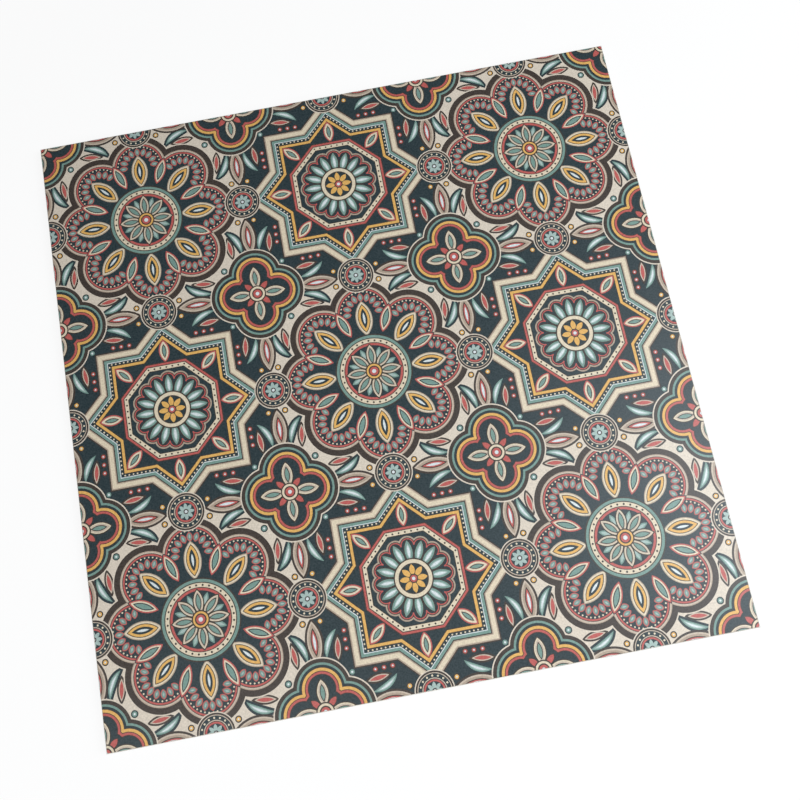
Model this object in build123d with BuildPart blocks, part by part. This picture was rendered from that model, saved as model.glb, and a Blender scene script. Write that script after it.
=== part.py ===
from build123d import *

import os

# A square porcelain floor tile: one dry-pressed, glazed and fired slab with ground edges.
# It lies face up. X and Y run along its edges, Z = 0 is the plane of the ribs on its back, and
# the origin is the middle of that back. All lengths are in millimetres.

# The ground outline, and the thickness over the ribs
tile_length = 600.0
tile_width = 600.0
tile_thickness = 9.5

# The arris: a small 45 degree bevel ground along the four edges of the glazed face
arris_leg = 0.8

# The keyed back: square pockets pressed between ribs, which the adhesive fills.
# Their walls lean outwards to the mouth, so that the press lets the tile go.
pocket_side = 30.0
pocket_corner_cut = 3.0
pocket_depth = 0.7
pocket_draft_angle = 40.0
rib_width = 6.0
least_border = 12.0


def pockets_along(edge_length):
    """The number of whole pockets that fit along an edge, inside the plain border of the back."""
    pocket_field = edge_length - 2 * least_border
    return int((pocket_field + rib_width) // (pocket_side + rib_width))


pocket_pitch = pocket_side + rib_width

# The mouth of one pocket, a square with cut corners
with BuildSketch(Plane.XY) as pocket_mouth:
    Rectangle(pocket_side, pocket_side)
    chamfer(pocket_mouth.vertices(), length=pocket_corner_cut)

with BuildPart() as tile:
    # The slab
    with BuildSketch(Plane.XY):
        Rectangle(tile_length, tile_width)
    extrude(amount=tile_thickness)

    # The arris round the glazed face
    glazed_face = tile.faces().sort_by(Axis.Z)[-1]
    chamfer(glazed_face.edges(), length=arris_leg)

    # The pockets of the back
    with BuildSketch(Plane.XY):
        with GridLocations(
            pocket_pitch, pocket_pitch, pockets_along(tile_length), pockets_along(tile_width)
        ):
            add(pocket_mouth.sketch)
    extrude(amount=pocket_depth, taper=pocket_draft_angle, mode=Mode.SUBTRACT)

tile.part.label = "tile"

os.makedirs("parts", exist_ok=True)
export_step(tile.part, "parts/tile.step")
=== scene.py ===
"""The looks of a square porcelain tile: its printed glaze, its fired body and its keyed back.

The glazed face carries a traditional repeat of foiled and star-shaped rosettes on a square grid,
joined by small link roundels, with a quatrefoil where four of them meet. The ground changes over
from linen to petrol and back, from one cell to the next.
"""

import math

import bmesh
import bpy
from mathutils import Matrix, Vector


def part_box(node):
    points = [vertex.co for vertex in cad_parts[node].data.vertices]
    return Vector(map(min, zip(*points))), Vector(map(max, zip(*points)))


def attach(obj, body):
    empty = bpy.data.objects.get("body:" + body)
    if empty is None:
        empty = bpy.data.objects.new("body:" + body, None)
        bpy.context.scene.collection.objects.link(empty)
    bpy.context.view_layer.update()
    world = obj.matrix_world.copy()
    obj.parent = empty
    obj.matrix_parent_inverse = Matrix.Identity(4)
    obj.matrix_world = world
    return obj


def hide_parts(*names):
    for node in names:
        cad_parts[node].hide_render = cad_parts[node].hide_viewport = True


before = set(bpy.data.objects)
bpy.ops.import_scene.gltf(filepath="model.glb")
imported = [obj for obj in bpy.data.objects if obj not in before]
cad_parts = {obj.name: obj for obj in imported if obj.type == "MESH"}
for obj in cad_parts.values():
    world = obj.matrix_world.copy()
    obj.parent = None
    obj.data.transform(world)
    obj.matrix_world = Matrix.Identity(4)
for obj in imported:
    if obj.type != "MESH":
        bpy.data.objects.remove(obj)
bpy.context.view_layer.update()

MM = 0.001

# Sizes of the tile, worked out from the frame
tile_low, tile_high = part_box("tile")
LENGTH = tile_high.x - tile_low.x
WIDTH = tile_high.y - tile_low.y
THICKNESS = tile_high.z - tile_low.z

# Sizes of its edges and back, as on the solid, with the corners and rims of its pockets softened
ARRIS = 0.8 * MM
RIB = 6 * MM
POCKET = 30 * MM
PITCH = POCKET + RIB
POCKET_DEPTH = 0.7 * MM
WALL_RUN = 0.6 * MM
POCKET_CORNER = 3 * MM
POCKET_ROUND = 0.15 * MM
LEAST_BORDER = 12 * MM
POCKETS = [int((side - 2 * LEAST_BORDER + RIB) // PITCH) for side in (LENGTH, WIDTH)]
FIELD = [count * PITCH / 2 for count in POCKETS]

# The piece's own map, in pixels of its baked picture. The glazed face takes most of it. Two arms
# beside it hold the four edges, in bands, and the back, cut into strips along its ribs.
MAP_SIZE = 1024
MARGIN = 3
GUTTER = 3
SIDE_PIXELS = 7
ARRIS_PIXELS = 3
BAND = SIDE_PIXELS + ARRIS_PIXELS + GUTTER
STRIP_PIXELS = 110
STRIPS = 4
STRIP_COLUMNS = POCKETS[0] // STRIPS
BACK_SCALE = STRIP_PIXELS / (STRIP_COLUMNS * PITCH + LENGTH / 2 - FIELD[0])
GLAZE_SPAN = MAP_SIZE - 2 * MARGIN - GUTTER - 2 * BAND - STRIP_PIXELS

# The print's repeat, in mm: square cells, one of which has its middle on the tile's middle
CELL = 200.0
HALF = CELL / 2

# Angles from an arm of a motif: to the diagonal, and to the gap between two of eight arms
DIAGONAL = math.pi / 4
BETWEEN_ARMS = math.pi / 8

# How far out the motifs' lobes and rows of beads lie, in mm, and the rounds that join their lobes
QUATREFOIL_REACH = 20.0
QUATREFOIL_CORE = 7.0
LOBE_REACH = 60.0
FOIL_CORE = 32.0
PETAL_REACH = 30.6
PETAL_CORE = 25.0
OCTAGON_BEADS = 43.0
STAR_BEADS = 55.4
STAR_BEAD_GAP = 4.0

# How far in, in mm, and how far round each way, in radians, a lobe is filled with beads and petals
LOBE_START = 50.0
LOBE_BEADS_TURN = 1.88
LOBE_PETALS_TURN = 1.77


# Maths on sockets

class Value:
    """A number, vector or colour that changes over a surface: one output socket of a node tree."""

    def __init__(self, tree, socket):
        self.tree = tree
        self.socket = socket

    def node(self, kind, settings, inputs, output=0):
        """Adds a node beside this value. Its settings go on first, then its sockets."""
        return add_node(self.tree, kind, settings, inputs, output)

    def other(self, name):
        """Another output of the node that this value comes from."""
        return Value(self.tree, self.socket.node.outputs[name])

    def math(self, operation, *others):
        return self.node("ShaderNodeMath", {"operation": operation}, dict(enumerate((self, *others))))

    def __add__(self, other):
        return self.math("ADD", other)

    def __sub__(self, other):
        return self.math("SUBTRACT", other)

    def __rsub__(self, other):
        return self.node("ShaderNodeMath", {"operation": "SUBTRACT"}, {0: other, 1: self})

    def __mul__(self, other):
        return self.math("MULTIPLY", other)

    def __lt__(self, other):
        return self.math("LESS_THAN", other)

    def __gt__(self, other):
        return self.math("GREATER_THAN", other)

    __radd__ = __add__
    __rmul__ = __mul__


def add_node(tree, kind, settings, inputs, output=0):
    """Adds a node of a kind, with its settings and the values or links of its sockets."""
    node = tree.nodes.new(kind)
    for name, setting in settings.items():
        if name == "stops":
            set_stops(node.color_ramp, setting)
        else:
            setattr(node, name, setting)
    for name, value in inputs.items():
        if isinstance(value, Value):
            tree.links.new(value.socket, node.inputs[name])
        else:
            node.inputs[name].default_value = value
    return Value(tree, node.outputs[output])


def set_stops(ramp, stops):
    """Gives a colour ramp flat bands of colour, each from its stop to the next."""
    ramp.interpolation = "CONSTANT"
    while len(ramp.elements) > 1:
        ramp.elements.remove(ramp.elements[-1])
    ramp.elements[0].position, ramp.elements[0].color = stops[0]
    for position, colour in stops[1:]:
        ramp.elements.new(position).color = colour


def least(first, second):
    return first.math("MINIMUM", second)


def most(first, second):
    return first.math("MAXIMUM", second)


def fold(value, half):
    """Folds a value to and fro between zero and half a period."""
    return value.math("PINGPONG", half)


def split(place):
    """The three numbers of a vector."""
    across = place.node("ShaderNodeSeparateXYZ", {}, {0: place}, "X")
    return across, across.other("Y"), across.other("Z")


def point(across, along):
    return across.node("ShaderNodeCombineXYZ", {}, {"X": across, "Y": along})


def length(across, along):
    settings = {"operation": "LENGTH"}
    return across.node("ShaderNodeVectorMath", settings, {0: point(across, along)}, "Value")


def reach(place, across, along):
    """The distance from a place to a fixed point."""
    settings = {"operation": "DISTANCE"}
    return place.node("ShaderNodeVectorMath", settings, {0: place, 1: (across, along, 0.0)}, "Value")


def mix(under, over, share):
    """One colour laid over another by a share from 0 to 1."""
    return share.node("ShaderNodeMix", {"data_type": "RGBA"}, {0: share, 6: under, 7: over}, 2)


def noise(place, scale, detail=2.0, roughness=0.5):
    """Soft cloudy noise from 0 to 1, with a number of lumps to the metre."""
    inputs = {"Vector": place, "Scale": scale, "Detail": detail, "Roughness": roughness}
    return place.node("ShaderNodeTexNoise", {}, inputs)


# The print's inks and the way they are laid

def screen(red, green, blue):
    """A colour given as a screen shows it, 0 to 255, in the linear values that shaders take."""
    def linear(level):
        level = level / 255
        return level / 12.92 if level <= 0.04045 else ((level + 0.055) / 1.055) ** 2.4
    return (linear(red), linear(green), linear(blue), 1.0)


INKS = {
    "petrol": screen(42, 55, 59),
    "brown": screen(63, 55, 50),
    "teal": screen(114, 143, 134),
    "taupe": screen(167, 150, 133),
    "mustard": screen(214, 167, 94),
    "cream": screen(212, 198, 173),
    "linen": screen(207, 195, 179),
    "red": screen(178, 89, 84),
    "ice": screen(206, 213, 214),
    "sand": screen(190, 175, 158),
    "mist": screen(158, 177, 171),
}
CLEAR = (0.0, 0.0, 0.0, 0.0)
RAMP_MARGIN = 1.0


def paint(ground, field, bands, where=None):
    """Lays bands of ink over a ground, all over it or only where a mask says.

    Each band ends where the field, in mm, reaches its edge.
    """
    start = bands[0][0] - RAMP_MARGIN
    span = bands[-1][0] + RAMP_MARGIN - start
    edges = [0.0] + [(edge - start) / span for edge, name in bands]
    inks = [INKS[name] for edge, name in bands] + [CLEAR]
    place = field.math("MULTIPLY_ADD", 1 / span, -start / span)
    laid = field.node("ShaderNodeValToRGB", {"stops": list(zip(edges, inks))}, {"Fac": place})
    cover = laid.other("Alpha")
    return mix(ground, laid, cover if where is None else cover * where)


class Ring:
    """Polar coordinates round a point of the print, and what repeats round it."""

    def __init__(self, across, along):
        self.place = point(across, along)
        self.radius = length(across, along)
        self.turn = along.math("ARCTAN2", across)

    def fan(self, count):
        """Places folded into one of count equal wedges, mirrored about its middle line."""
        bend = fold(self.turn, math.pi / count)
        return point(self.radius * bend.math("COSINE"), self.radius * bend.math("SINE"))

    def beads(self, radius, count):
        """The distance to the nearest of count beads on a circle."""
        return length(self.radius - radius, fold(self.turn, math.pi / count) * radius)


def bow(start, stop, rise):
    """The centre and radius of an arc from start to stop that bulges to the left by a rise."""
    start, stop = Vector(start), Vector(stop)
    chord = stop - start
    radius = ((chord.length / 2) ** 2 + rise ** 2) / (2 * rise)
    left = Vector((-chord.y, chord.x)).normalized()
    return (start + stop) / 2 - left * (radius - rise), radius


def leaf(place, start, stop, width, lean=0.0):
    """The distance outside a pointed leaf that lies along a fold line through the origin.

    The line is at zero, with the places to its left, or at a lean, with the places to its right.
    """
    line = Vector((math.cos(lean), math.sin(lean)))
    ends = (line * stop, line * start) if lean else (line * start, line * stop)
    centre, radius = bow(*ends, width / 2)
    return reach(place, *centre) - radius


def blade(place, start, stop, width):
    """The distance outside a pointed leaf between two points, off any fold line."""
    left, radius = bow(start, stop, width / 2)
    right, radius = bow(stop, start, width / 2)
    return most(reach(place, *left), reach(place, *right)) - radius


def curved_leaf(place, start, stop, rise, hollow):
    """The distance outside a leaf that curves: a full arc on its left and a flatter one inside it."""
    full, full_radius = bow(start, stop, rise)
    flat, flat_radius = bow(start, stop, hollow)
    return most(reach(place, *full) - full_radius, flat_radius - reach(place, *flat))


# The print, from the ground up

def draw_sprays(ground, corner):
    """The leaves and berries that fill the ground beside each arm of the corner."""
    place = corner.place
    ground = paint(ground, curved_leaf(place, (70.5, 23.0), (43.0, 9.0), rise=7.8, hollow=0.4), [
        (-2.8, "ice"), (-2.0, "mist"), (-0.9, "teal"), (1.3, "petrol"),
    ])
    ground = paint(ground, blade(place, (41.0, 18.8), (63.0, 21.5), width=6.6), [
        (-1.5, "red"), (-0.6, "sand"), (1.0, "brown"),
    ])
    for berry in ((50.5, 27.9), (58.5, 28.1), (66.5, 28.3)):
        ground = paint(ground, reach(place, *berry), [(0.8, "ice"), (1.9, "red"), (3.0, "brown")])
    ground = paint(ground, reach(place, 78.4, 8.2), [(0.8, "ice"), (2.0, "mustard"), (3.1, "brown")])
    return paint(ground, reach(place, 29.4, 29.4), [(1.0, "ice"), (2.3, "teal"), (3.4, "petrol")])


def draw_bud(ground, corner):
    """The bud on each arm of the corner."""
    return paint(ground, leaf(corner.place, start=41.0, stop=80.6, width=14.4), [
        (-6.0, "ice"), (-4.8, "red"), (-3.9, "brown"), (-2.0, "taupe"), (-0.6, "sand"),
        (1.4, "brown"),
    ])


def draw_quatrefoil(ground, corner):
    """The quatrefoil where four cells meet."""
    lobes = reach(corner.place, QUATREFOIL_REACH, 0.0)
    ground = paint(ground, least(lobes, corner.radius - QUATREFOIL_CORE), [
        (12.2, "petrol"), (12.9, "brown"), (15.0, "red"), (15.7, "brown"), (18.2, "mustard"),
        (18.9, "brown"), (20.8, "petrol"), (22.8, "teal"), (26.2, "brown"), (27.4, "linen"),
    ])
    ground = paint(ground, leaf(corner.place, start=5.0, stop=28.0, width=10.0), [
        (-3.2, "teal"), (-2.4, "brown"), (-1.0, "sand"), (0.0, "cream"), (1.0, "brown"),
    ])
    ground = paint(ground, leaf(corner.place, start=5.0, stop=16.0, width=5.0, lean=DIAGONAL), [
        (0.0, "red"), (0.9, "brown"),
    ])
    return paint(ground, corner.radius, [
        (1.8, "ice"), (4.2, "red"), (5.4, "brown"), (7.4, "cream"), (8.6, "brown"),
    ])


def draw_foil_rosette(ground, cell, eight, sixteen):
    """The rosette in an eight-lobed frame, with a feather's eye in each lobe."""
    lobe_x, lobe_y = split(eight)[:2]
    lobe = Ring(lobe_x - LOBE_REACH, lobe_y)
    frame_edge = least(lobe.radius, cell.radius - FOIL_CORE)
    ground = paint(ground, frame_edge, [
        (23.4, "petrol"), (25.0, "red"), (25.7, "brown"), (27.0, "sand"), (27.8, "taupe"),
        (33.4, "brown"), (34.6, "linen"),
    ])
    on_lobe = (lobe.turn < LOBE_BEADS_TURN) * (cell.radius > LOBE_START)
    ground = paint(ground, lobe.beads(radius=22.0, count=36), [(0.8, "cream")], on_lobe)
    ground = paint(ground, leaf(lobe.fan(16), start=12.4, stop=20.0, width=4.4), [
        (-1.5, "mist"), (-0.2, "teal"), (0.7, "red"),
    ], lobe.turn < LOBE_PETALS_TURN)
    ground = paint(ground, leaf(eight, start=37.0, stop=71.5, width=15.5), [
        (-6.6, "ice"), (-4.6, "petrol"), (-2.4, "mustard"), (-1.7, "brown"), (-0.2, "cream"),
        (0.6, "taupe"),
    ])
    ground = paint(ground, leaf(eight, start=42.0, stop=68.0, width=9.0, lean=BETWEEN_ARMS), [
        (-2.4, "teal"), (-1.5, "petrol"), (-0.2, "cream"), (1.0, "red"), (1.8, "petrol"),
    ])
    ground = paint(ground, cell.radius, [
        (26.0, "petrol"), (28.2, "red"), (29.0, "brown"), (32.8, "cream"), (33.7, "brown"),
        (36.3, "teal"), (37.6, "brown"),
    ])
    ground = paint(ground, cell.beads(radius=30.9, count=32), [(1.0, "brown")])
    ground = paint(ground, leaf(sixteen, start=12.0, stop=25.0, width=5.0), [
        (-1.2, "mist"), (0.0, "teal"),
    ])
    ground = paint(ground, leaf(eight, start=5.0, stop=26.5, width=8.6), [
        (-2.4, "teal"), (-1.6, "brown"), (-0.6, "sand"), (0.0, "cream"), (1.1, "brown"),
    ])
    return paint(ground, cell.radius, [
        (2.0, "ice"), (4.2, "red"), (5.4, "brown"), (7.2, "mustard"), (8.4, "brown"),
    ])


def draw_star_rosette(ground, cell, eight, sixteen):
    """The rosette in a frame of two crossed squares, an eight-pointed star."""
    side, along_side = split(eight)[:2]
    star_side = (side + along_side) * math.sqrt(0.5)
    along_star = (side - along_side) * math.sqrt(0.5)
    ground = paint(ground, star_side, [
        (50.0, "petrol"), (50.7, "brown"), (53.3, "mustard"), (54.0, "brown"), (56.8, "petrol"),
        (57.5, "ice"), (60.0, "teal"), (61.0, "brown"), (62.0, "taupe"), (66.0, "cream"),
        (67.2, "taupe"), (68.4, "brown"),
    ])
    first_bead = STAR_BEADS * math.tan(BETWEEN_ARMS) + STAR_BEAD_GAP / 2
    beads = length(star_side - STAR_BEADS, fold(along_star - first_bead, STAR_BEAD_GAP / 2))
    ground = paint(ground, beads, [(0.8, "cream")])
    ground = paint(ground, leaf(eight, start=49.0, stop=70.0, width=9.0), [
        (-3.0, "teal"), (-2.2, "brown"), (-0.4, "cream"), (0.8, "red"),
    ])
    ground = paint(ground, side, [
        (40.4, "petrol"), (41.2, "brown"), (44.8, "cream"), (45.6, "brown"), (47.6, "red"),
        (48.6, "brown"),
    ])
    bead_gap = OCTAGON_BEADS * math.tan(BETWEEN_ARMS) / 3
    beads = length(side - OCTAGON_BEADS, fold(along_side, bead_gap / 2))
    ground = paint(ground, beads, [(0.9, "brown")])
    petal_tips = reach(sixteen, PETAL_REACH, 0.0)
    ground = paint(ground, least(petal_tips, cell.radius - PETAL_CORE), [
        (5.4, "petrol"), (6.4, "red"), (7.2, "brown"), (8.6, "taupe"),
    ])
    ground = paint(ground, leaf(sixteen, start=14.0, stop=35.4, width=7.6), [
        (-2.6, "ice"), (-1.8, "mist"), (-0.2, "teal"), (0.8, "brown"),
    ])
    ground = paint(ground, cell.radius, [
        (13.0, "petrol"), (14.0, "brown"), (17.4, "cream"), (18.6, "brown"),
    ])
    ground = paint(ground, leaf(eight, start=3.0, stop=13.0, width=5.0), [(0.0, "mustard")])
    return paint(ground, cell.radius, [(1.6, "ice"), (3.2, "red"), (4.2, "brown")])


def draw_link(ground, link):
    """The small roundel that joins two neighbouring frames."""
    ground = paint(ground, link.radius, [
        (8.2, "petrol"), (9.8, "red"), (10.5, "brown"), (11.3, "sand"), (15.1, "petrol"),
        (15.8, "sand"), (17.4, "brown"), (18.4, "linen"),
    ])
    ground = paint(ground, link.beads(radius=13.2, count=16), [(0.9, "cream")])
    ground = paint(ground, leaf(link.fan(8), start=1.5, stop=8.0, width=3.4), [(0.0, "mist")])
    return paint(ground, link.radius, [(1.4, "ice"), (2.4, "brown")])


def draw_print(place):
    """The whole repeat, as a colour, from places in mm on the glazed face."""
    across, along = (fold(way, CELL) for way in split(place)[:2])
    far = most(across, along)
    near = least(across, along)
    past = most(far + near - CELL, 0.0)
    far = far - past
    near = near - past

    star_cell = far > HALF
    inward = fold(far, HALF)
    cell = Ring(inward, near)
    corner = Ring(HALF - near, HALF - inward)
    link = Ring(HALF - inward, near)
    eight = cell.fan(8)
    sixteen = cell.fan(16)

    ground = draw_sprays(mix(INKS["linen"], INKS["petrol"], star_cell), corner)
    ground = draw_bud(ground, corner)
    ground = draw_quatrefoil(ground, corner)
    foil_side = draw_foil_rosette(ground, cell, eight, sixteen)
    star_side = draw_star_rosette(ground, cell, eight, sixteen)
    return draw_link(mix(foil_side, star_side, star_cell), link)


# Materials

# The glaze: lumps of its noises to the metre, how far they tint the print, and its gloss
GRAIN = 650.0
GRAIN_TINT = 0.44
GRAIN_HAZE = 0.04
CLOUDS = 9.0
CLOUD_TINT = 0.05
RIPPLES = 240.0
RIPPLE_HEIGHT = 0.1 * MM
GLAZE_ROUGHNESS = 0.42
GLAZE_SPECULAR = 0.38

# How far a surface's own grain changes its roughness
ROUGHNESS_GRAIN = 0.12

# The fired body's colours
BODY = screen(203, 196, 183)
BODY_SHADE = screen(190, 181, 166)
ENGOBE = screen(208, 204, 195)
GLAZE_EDGE = screen(96, 90, 84)
KILN_WASH = screen(228, 225, 219)
IRON = screen(112, 94, 78)

# Lumps of the body's noises to the metre, or along each axis for smears and grinding marks
MOTTLE = 22.0
WAVER = 500.0
GRIT = 900.0
SPECKS = 2200.0
SMEARS = (60.0, 9.0, 1.0)
GRINDING = (14.0, 14.0, 5200.0)

# The level of noise past which a speck shows, how far each thing covers or tints the body, and how
# rough the body is
SPECK_CUT = 0.715
SPECK_COVER = 0.6
WASH_COVER = 0.22
SMEAR_COVER = 0.45
GRINDING_TINT = 0.16
BODY_ROUGHNESS = 0.72

# Heights over the floor that part the ribs and the edges from the rest, depths of the top layers
# below the face, and heights of the relief
RIB_LEVEL = 0.1 * MM
EDGE_LEVEL = 1.0 * MM
ENGOBE_DEPTH = 0.42 * MM
GLAZE_DEPTH = 0.12 * MM
WAVER_HEIGHT = 0.08 * MM
GRIT_HEIGHT = 0.05 * MM
GRINDING_HEIGHT = 0.03 * MM
SMEAR_HEIGHT = 0.04 * MM


def new_material(name):
    """An empty material, and the places on its surface in metres."""
    material = bpy.data.materials.new(name)
    material.use_nodes = True
    material.node_tree.nodes.clear()
    return material, add_node(material.node_tree, "ShaderNodeTexCoord", {}, {}, "Object")


def shade(material, shader):
    """Ends a material with a shader."""
    end = material.node_tree.nodes.new("ShaderNodeOutputMaterial")
    material.node_tree.links.new(shader.socket, end.inputs["Surface"])


def bump(height, strength, distance):
    inputs = {"Strength": strength, "Distance": distance, "Height": height}
    return height.node("ShaderNodeBump", {}, inputs)


def scaled(place, *factors):
    """Places scaled by one factor along each axis."""
    settings = {"operation": "MULTIPLY"}
    return place.node("ShaderNodeVectorMath", settings, {0: place, 1: factors})


def brightened(colour, factor):
    settings = {"operation": "SCALE"}
    return colour.node("ShaderNodeVectorMath", settings, {0: colour, "Scale": factor})


def ramped(value, low, high):
    """Rises from 0 to 1 as a value goes from low to high."""
    inputs = {"Value": value, "From Min": low, "From Max": high}
    return value.node("ShaderNodeMapRange", {"interpolation_type": "SMOOTHSTEP"}, inputs)


def printed_glaze():
    """Satin glaze over the print, with the fine grain of its ink dots."""
    material, place = new_material("printed_glaze")
    grain = noise(place, GRAIN, detail=1.0) - 0.5
    cloud = noise(place, CLOUDS) - 0.5
    tint = grain * GRAIN_TINT + cloud * CLOUD_TINT + 1.0
    colour = brightened(draw_print(scaled(place, 1 / MM, 1 / MM, 1 / MM)), tint)
    hazed = {0: colour, 1: grain * GRAIN_HAZE}
    colour = colour.node("ShaderNodeVectorMath", {"operation": "ADD"}, hazed)
    inputs = {
        "Base Color": colour,
        "Roughness": GLAZE_ROUGHNESS + grain * ROUGHNESS_GRAIN,
        "Specular IOR Level": GLAZE_SPECULAR,
        "Normal": bump(noise(place, RIPPLES, detail=3.0), strength=0.25, distance=RIPPLE_HEIGHT),
    }
    shade(material, place.node("ShaderNodeBsdfPrincipled", {}, inputs))
    return material


def fired_body():
    """Pale fired porcelain: ground edges, with the glaze's section, and a back with kiln wash."""
    material, place = new_material("fired_body")
    height = split(place)[2]
    on_edge = height > EDGE_LEVEL
    on_rib = height < RIB_LEVEL

    mottle = ramped(noise(place, MOTTLE, detail=3.0), low=0.35, high=0.7)
    colour = mix(BODY, BODY_SHADE, mottle)
    wash = noise(scaled(place, *SMEARS), 1.0, detail=4.0, roughness=0.6)
    smear = ramped(wash, low=0.48, high=0.66)
    colour = mix(colour, KILN_WASH, (smear * SMEAR_COVER + WASH_COVER) * on_rib)
    specks = noise(place, SPECKS, detail=1.0) > SPECK_CUT
    colour = mix(colour, IRON, specks * SPECK_COVER)
    streaks = noise(scaled(place, *GRINDING), 1.0, detail=3.0)
    colour = brightened(colour, (streaks - 0.5) * on_edge * GRINDING_TINT + 1.0)

    layers = height + (noise(place, WAVER) - 0.5) * WAVER_HEIGHT
    colour = mix(colour, ENGOBE, layers > THICKNESS - ENGOBE_DEPTH)
    colour = mix(colour, GLAZE_EDGE, layers > THICKNESS - GLAZE_DEPTH)

    grit = noise(place, GRIT, detail=3.0)
    marks = streaks * on_edge * GRINDING_HEIGHT + smear * on_rib * SMEAR_HEIGHT
    inputs = {
        "Base Color": colour,
        "Roughness": BODY_ROUGHNESS + grit * ROUGHNESS_GRAIN,
        "IOR": 1.5,
        "Normal": bump(grit * GRIT_HEIGHT + marks, strength=0.6, distance=1.0),
    }
    shade(material, place.node("ShaderNodeBsdfPrincipled", {}, inputs))
    return material


# Objects

def add_object(name, data):
    """A new object in the scene, at the origin."""
    thing = bpy.data.objects.new(name, data)
    bpy.context.scene.collection.objects.link(thing)
    return thing


def add_mesh(name, mesh, *materials):
    """A new object made of a finished mesh and its materials."""
    data = bpy.data.meshes.new(name)
    mesh.to_mesh(data)
    mesh.free()
    for material in materials:
        data.materials.append(material)
    return add_object(name, data)


# The tile's mesh

# How near two heights count as one, the angle in radians past which an edge is sharp, and how far
# a normal points up or down, from 0 to 1, on a face that is level and on one that is a wall
TOUCH = 0.01 * MM
SHARP = 1.0
LEVEL = 0.9
STEEP = 0.1


def at_height(edge, height):
    return all(abs(vert.co.z - height) < TOUCH for vert in edge.verts)


def bevel_edges(mesh, edges, offset, segments):
    bmesh.ops.bevel(mesh, geom=edges, offset=offset, offset_type="OFFSET", segments=segments,
                    profile=0.5, affect="EDGES", material=-1)
    mesh.normal_update()


def press_slab(mesh):
    """The slab, in squares as wide as the pitch of the ribs, with a narrower row along each edge."""
    counts = [pockets + 2 for pockets in POCKETS]
    bmesh.ops.create_grid(mesh, x_segments=counts[0], y_segments=counts[1], size=0.5)
    bmesh.ops.scale(mesh, vec=(counts[0] * PITCH, counts[1] * PITCH, 1.0), verts=mesh.verts)
    for vert in mesh.verts:
        vert.co.x = max(-LENGTH / 2, min(LENGTH / 2, vert.co.x))
        vert.co.y = max(-WIDTH / 2, min(WIDTH / 2, vert.co.y))
    raised = bmesh.ops.extrude_face_region(mesh, geom=mesh.faces[:] + mesh.edges[:] + mesh.verts[:])
    upper = [part for part in raised["geom"] if isinstance(part, bmesh.types.BMVert)]
    bmesh.ops.translate(mesh, vec=(0.0, 0.0, THICKNESS), verts=upper)
    bmesh.ops.recalc_face_normals(mesh, faces=mesh.faces)


def grind_arris(mesh):
    rim = [edge for edge in mesh.edges if at_height(edge, THICKNESS) and edge.calc_face_angle() > SHARP]
    bevel_edges(mesh, rim, ARRIS, segments=1)


def wall_edges(mesh):
    """The edges round the walls of the pockets, each of them once."""
    return [edge for edge in mesh.edges
            if any(-LEVEL < face.normal.z < -STEEP for face in edge.link_faces)]


def on_rim(edge):
    """Whether an edge runs round a pocket's mouth or round its floor."""
    return at_height(edge, 0.0) or at_height(edge, POCKET_DEPTH)


def press_pockets(mesh):
    """The pockets of the back, with softened corners and rims, and the ribs left between them."""
    pockets = []
    for face in mesh.faces:
        middle = face.calc_center_median()
        if face.normal.z < -LEVEL and abs(middle.x) < FIELD[0] and abs(middle.y) < FIELD[1]:
            pockets.append(face)
    bmesh.ops.inset_individual(mesh, faces=pockets, thickness=RIB / 2, use_even_offset=True)
    bmesh.ops.inset_individual(mesh, faces=pockets, thickness=WALL_RUN, depth=-POCKET_DEPTH,
                               use_even_offset=True)
    mesh.normal_update()
    corners = [edge for edge in wall_edges(mesh) if not on_rim(edge)]
    bevel_edges(mesh, corners, POCKET_CORNER, segments=3)
    rims = [edge for edge in wall_edges(mesh) if on_rim(edge)]
    bevel_edges(mesh, rims, POCKET_ROUND, segments=2)


def band_place(height):
    """How far across its band a point of an edge lies. The arris gets more than its share."""
    side = THICKNESS - ARRIS
    if height <= side:
        return height / side * SIDE_PIXELS
    return SIDE_PIXELS + (height - side) / ARRIS * ARRIS_PIXELS


def map_point(corner, middle, normal):
    """Where a corner of a face lies on the map, in pixels, by the middle and normal of the face."""
    if normal.z > LEVEL:
        return (MARGIN + (corner.x / LENGTH + 0.5) * GLAZE_SPAN,
                MARGIN + (corner.y / WIDTH + 0.5) * GLAZE_SPAN)
    if abs(middle.x) < LENGTH / 2 - ARRIS and abs(middle.y) < WIDTH / 2 - ARRIS:
        column = min(max((middle.x + FIELD[0]) // PITCH, 0), POCKETS[0] - 1)
        strip = int(column // STRIP_COLUMNS)
        left = strip * STRIP_COLUMNS * PITCH - FIELD[0] if strip else -LENGTH / 2
        arm = strip % 2
        across = 2 * BAND + (corner.x - left) * BACK_SCALE
        along = strip // 2 * (WIDTH * BACK_SCALE + GUTTER) + (corner.y + WIDTH / 2) * BACK_SCALE
    else:
        arm = 0 if abs(normal.x) > abs(normal.y) else 1
        across = (BAND if normal[arm] < 0 else 0) + band_place(corner.z)
        along = (corner[1 - arm] / (WIDTH, LENGTH)[arm] + 0.5) * GLAZE_SPAN
    across += MARGIN + GLAZE_SPAN + GUTTER
    along += MARGIN
    return (along, across) if arm else (across, along)


def map_faces(mesh):
    layer = mesh.loops.layers.uv.new("OFBake")
    for face in mesh.faces:
        middle = face.calc_center_median()
        for loop in face.loops:
            spot = map_point(loop.vert.co, middle, face.normal)
            loop[layer].uv = (spot[0] / MAP_SIZE, spot[1] / MAP_SIZE)


def make_tile():
    """The whole tile: one mesh, with the print on its glazed face and the bare body elsewhere."""
    mesh = bmesh.new()
    press_slab(mesh)
    grind_arris(mesh)
    press_pockets(mesh)
    map_faces(mesh)
    for face in mesh.faces:
        face.material_index = 0 if face.normal.z > LEVEL else 1
    return add_mesh("glazed_tile", mesh, printed_glaze(), fired_body())


tile = make_tile()
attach(tile, "root")
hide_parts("tile")


# The floor, the lights and the camera

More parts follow.
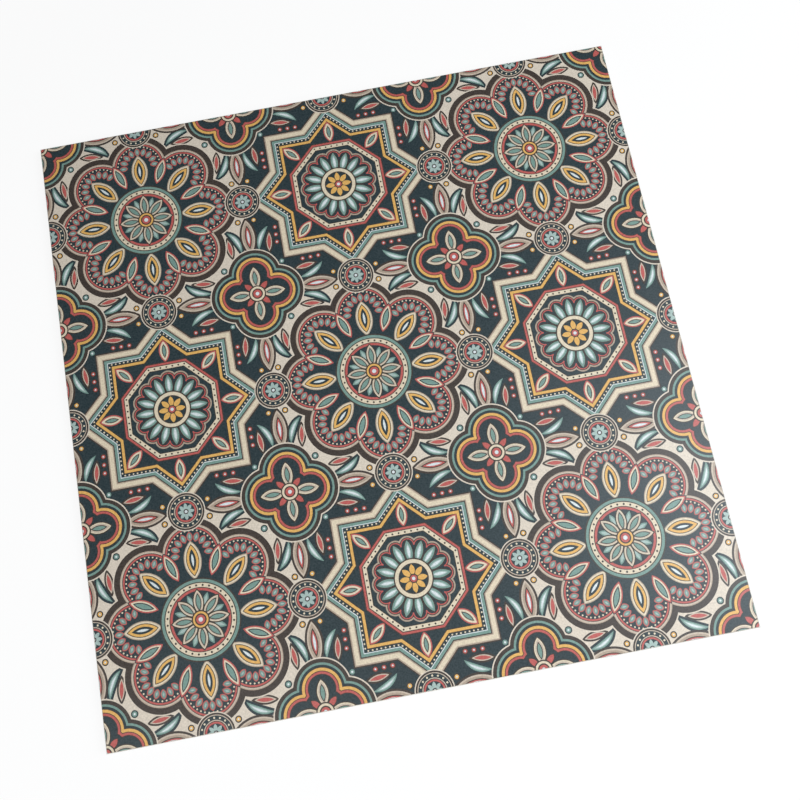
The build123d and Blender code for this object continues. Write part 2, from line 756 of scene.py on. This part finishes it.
# The floor: its paint, half its width, the gap between its opening and the tile, and its share of
# plain white at the tile, which grows to the whole between two distances from the tile's middle
FLOOR_PAINT = screen(238, 238, 238)
FLOOR_HALF = 5.0
OPENING_GAP = 0.3 * MM
GLOW_NEAR = 0.88
GLOW_RAMP = (0.5, 0.9)

# The colours of light
PLAIN_WHITE = (1.0, 1.0, 1.0)
DAYLIGHT = (0.92, 1.0, 1.07)

# The room: its light above the floor, the steepest reflections that still meet its white walls, and
# how much more of the light from below comes from the left and from the front
ROOM_LIGHT = 0.12
WALL_TOP = 0.2
LEFTWARD = 0.35
FORWARD = 0.55

# The camera: its angles round the tile, in degrees, its place, its lens and sensor, in mm, and how
# far its frame is shifted, as a share of the frame's width
CAMERA_ANGLES = (-3.22, 79.77, -7.59)
CAMERA_PLACE = Vector((-0.0027, -0.1510, 0.6712 + THICKNESS))
LENS = 31.71
SENSOR = 36.0
FRAME_SHIFT = 0.02


def floor_white():
    """White paint that looks plain white, with part of the tile's shadow left near the tile.

    From behind it can be seen through, so that the tile's back shows from below.
    """
    material, place = new_material("floor_white")
    away = length(*split(place)[:2])
    glow_share = ramped(away, *GLOW_RAMP) * (1.0 - GLOW_NEAR) + GLOW_NEAR
    path = place.node("ShaderNodeLightPath", {}, {}, "Is Camera Ray")
    seen = most(most(path, path.other("Is Glossy Ray")), path.other("Is Transmission Ray"))
    diffuse = place.node("ShaderNodeBsdfDiffuse", {}, {"Color": FLOOR_PAINT})
    glow = place.node("ShaderNodeEmission", {}, {"Strength": 1.0})
    front = place.node("ShaderNodeMixShader", {}, {0: seen * glow_share, 1: diffuse, 2: glow})
    behind = place.node("ShaderNodeNewGeometry", {}, {}, "Backfacing")
    clear = place.node("ShaderNodeBsdfTransparent", {}, {})
    shade(material, place.node("ShaderNodeMixShader", {}, {0: behind, 1: front, 2: clear}))
    return material


def make_floor():
    """A plain floor, open under the tile, which lets light to the tile's back."""
    mesh = bmesh.new()
    bmesh.ops.create_grid(mesh, x_segments=3, y_segments=3, size=FLOOR_HALF)
    for vert in mesh.verts:
        for axis, side in ((0, LENGTH), (1, WIDTH)):
            if abs(vert.co[axis]) < FLOOR_HALF / 2:
                vert.co[axis] = math.copysign(side / 2 + OPENING_GAP, vert.co[axis])
    under = min(mesh.faces, key=lambda face: face.calc_center_median().length)
    bmesh.ops.delete(mesh, geom=[under], context="FACES_ONLY")
    floor = add_mesh("floor", mesh, floor_white())


def add_softbox(name, place, side, power, colour=PLAIN_WHITE):
    """A square soft lamp that faces the tile, and isn't seen itself."""
    light = bpy.data.lights.new(name, "AREA")
    light.size = side
    light.energy = power
    light.color = colour
    lamp = add_object(name, light)
    lamp.location = place
    lamp.rotation_euler = (-Vector(place)).to_track_quat("-Z", "Y").to_euler()
    lamp.visible_camera = False


def light_studio():
    """A high window on the right, with a softbox beyond it and another at the near left.

    The window leaves a cool sheen on the tile's right side.
    """
    add_softbox("window", place=(0.95, -0.25, 1.30), side=0.8, power=15.5, colour=DAYLIGHT)
    add_softbox("right_softbox", place=(1.70, -0.20, 1.20), side=1.0, power=18.0)
    add_softbox("near_softbox", place=(-0.60, -1.20, 1.30), side=1.0, power=16.5)


def light_room():
    """The room's own soft light: dim above the floor, and brighter below it, from the front left.

    To the camera the room is white, and so it is to reflections up to the top of its low walls.
    """
    world = bpy.data.worlds.new("room")
    world.use_nodes = True
    tree = world.node_tree
    across, along, height = split(add_node(tree, "ShaderNodeTexCoord", {}, {}, "Generated"))
    path = add_node(tree, "ShaderNodeLightPath", {}, {}, "Is Camera Ray")
    walls = path.other("Is Glossy Ray") * (height < WALL_TOP)
    seen = most(most(path, path.other("Is Transmission Ray")), walls)
    below = (height < 0.0) * (1.0 - across * LEFTWARD - along * FORWARD)
    level = most(below * (1.0 - seen) + seen, ROOM_LIGHT)
    room = tree.nodes["Background"]
    room.inputs["Color"].default_value = (*PLAIN_WHITE, 1.0)
    tree.links.new(level.socket, room.inputs["Strength"])
    bpy.context.scene.world = world


def add_camera():
    """Stands above the tile, a little in front of its middle, and turned as the picture was."""
    azimuth, elevation, roll = (math.radians(angle) for angle in CAMERA_ANGLES)
    back = Vector((math.sin(azimuth) * math.cos(elevation), -math.cos(azimuth) * math.cos(elevation),
                   math.sin(elevation)))
    right = (-back).cross(Vector((0, 0, 1))).normalized()
    up = right.cross(-back)
    turned_right = right * math.cos(roll) + up * math.sin(roll)
    turned_up = up * math.cos(roll) - right * math.sin(roll)
    turn = Matrix((turned_right, turned_up, back)).transposed()
    data = bpy.data.cameras.new("camera")
    data.sensor_width = SENSOR
    data.lens = LENS
    data.shift_x = FRAME_SHIFT
    camera = add_object("camera", data)
    camera.matrix_world = Matrix.Translation(CAMERA_PLACE) @ turn.to_4x4()
    bpy.context.scene.camera = camera


make_floor()
light_studio()
light_room()
add_camera()

bpy.context.scene.view_settings.view_transform = "Standard"
